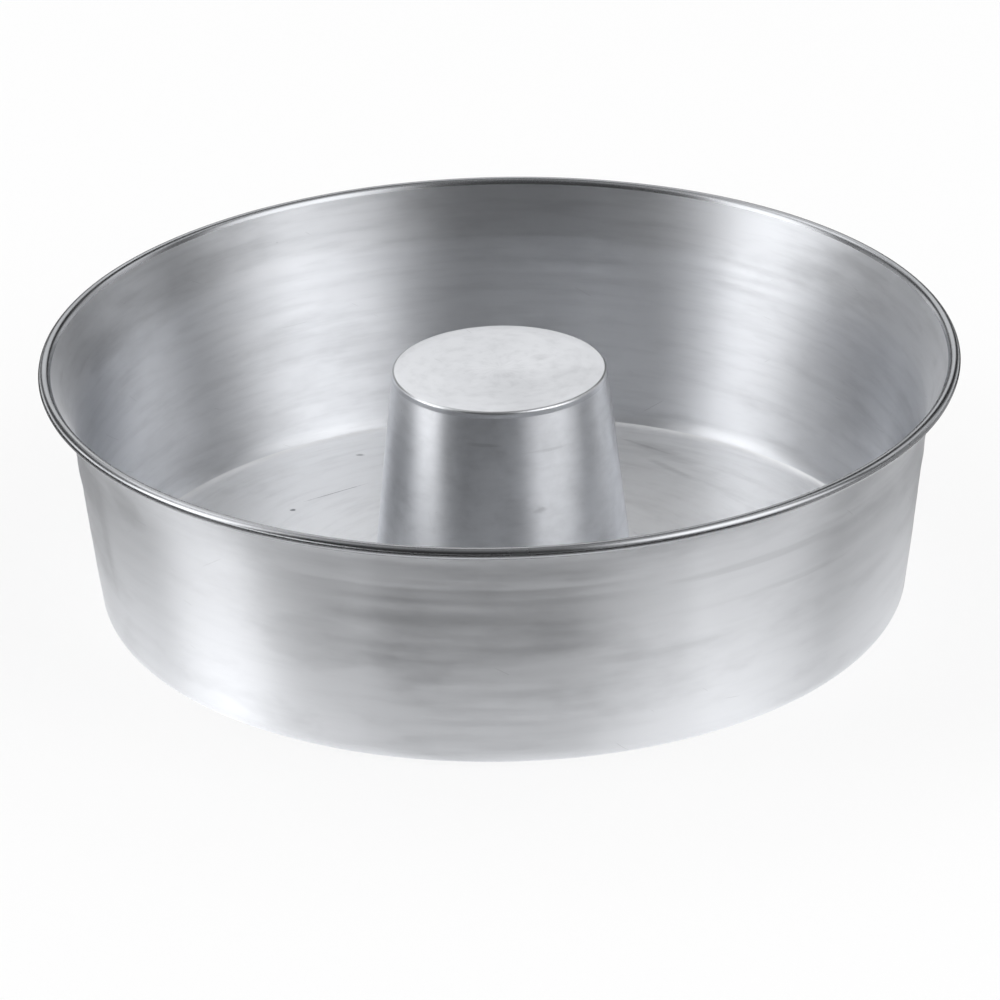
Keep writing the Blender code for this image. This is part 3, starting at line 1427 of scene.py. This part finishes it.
DRAWN = (
    AluminiumFinish("drawn_side", GREY, 0.38, 1.0, grooves=(FINE, BROAD), marks=(
        Mark((0.0097, -0.0294, 0.0352), (0.0024, 0.004, 0.0015), 0.22, edge=0.8),
        Mark((-0.0054, -0.0284, 0.0536), (0.0060, 0.004, 0.0007), 0.16, edge=0.7),
        Mark((0.0119, -0.0263, 0.0510), (0.0080, 0.006, 0.0006), 0.14, edge=0.7),
    )),
    AluminiumFinish("drawn_top", GREY, 0.35, 0.3, True, grooves=(FINE,), marks=(
        Mark((0.0107, 0.0065, 0.0625), (0.0036, 0.0028, 0.002), 0.10, edge=0.7),
        Mark((0.0010, -0.0040, 0.0625), (0.0080, 0.0030, 0.002), 0.05, 0.4, 0.8),
    )),
    AluminiumFinish("drawn_edge", PAINTED_SHADE_EDGE, 0.32, 0.2, grooves=(FINE,)),
)
FLAG = CardKind.FLAG
STUDIO = Studio(
    cards=(
        Card("front_flag", (-72, 30), (-3, 64), 0.03, (10, 8), FLAG),
        Card("right_flag", (25, 168), (-3, 64), 0.02, (6, 8), FLAG),
        Card("rear_flag", (160, 205), (-3, 18), 0.02, (4, 6), FLAG),
        Card("left_rear_flag", (200, 292), (-3, 64), 0.05, (6, 8), FLAG),
        Card("top_flag", (-180, 180), (50, 90), 0.18, (0, 8), FLAG),
        Card("left_softbox", (-103, -61), (-4, 64), 1.3, (13, 10)),
        Card("left_softbox_core", (-102, -66), (-4, 30), 1.72, (12, 10)),
        Card("left_softbox_heart", (-96, -60), (8, 50), 1.05, (11, 14)),
        Card("left_top", (-140, -40), (54, 86), 0.3, (22, 9)),
        Card("left_wing", (-130, -90), (-4, 17), 1.7, (11, 6)),
        Card("left_far_wing", (-158, -118), (-4, 14), 1.1, (18, 6)),
        Card("left_low_front", (-78, -26), (-4, 9), 3.5, (22, 7)),
        Card("right_softbox", (24, 90), (12, 64), 2.25, (18, 12)),
        Card("right_top", (40, 140), (54, 86), 0.4, (22, 9)),
        Card("right_softbox_low", (46, 94), (-4, 24), 1.42, (12, 10)),
        Card("right_rear", (97, 140), (10, 44), 1.05, (15, 10)),
        Card("right_rear_high", (91, 128), (36, 64), 0.95, (12, 10)),
        Card("right_rear_low", (110, 160), (-4, 16), 0.85, (18, 8)),
        Card("front_high", (-70, 40), (36, 66), 0.08, (14, 14)),
        Card("left_rear_high", (200, 262), (32, 66), 1.85, (14, 14)),
        Card("front_table_near", (-30, 40), (0.156, 0.190), 0.01, (6, 0.010), FLAG, True),
        Card("front_table_far", (-62, 62), (0.178, 1.2), 0.01, (4, 0.01), FLAG, True),
        Card("left_table_near", (-130, -25), (0.150, 0.185), 0.03, (6, 0.008), FLAG, True),
        Card("left_table_far", (-125, -58), (0.180, 1.2), 0.01, (4, 0.01), FLAG, True),
        Card("right_table_near", (36, 120), (0.150, 0.185), 0.01, (6, 0.008), FLAG, True),
        Card("right_table_far", (58, 125), (0.180, 1.2), 0.33, (4, 0.01), FLAG, True),
        Card("rear_table", (120, 240), (0.180, 1.2), 0.01, (4, 0.01), FLAG, True),
    ),
)


def main() -> None:
    """Builds the pieces, dresses them and sets the stage."""
    logging.basicConfig(level=logging.INFO, format="%(name)s: %(message)s")
    bpy.context.scene.view_settings.view_transform = "Standard"
    body_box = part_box("mould_body")
    body = MouldBody(rim_radius=body_box[1].x, rim_height=body_box[1].z)
    cone = CentreCone(top_height=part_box("centre_cone")[1].z)
    for piece, node, slot, finishes in ((body, "mould_body", "spun_aluminium", SPUN),
                                        (cone, "centre_cone", "drawn_aluminium", DRAWN)):
        made = piece.build()
        for finish in finishes:
            made.data.materials.append(finish.material())
        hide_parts(node)
        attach(made, "root")
        LOG.info("%s: %d faces", made.name, len(made.data.polygons))
    STUDIO.build()
    PhotoCamera().place()


if __name__ == "__main__":
    main()
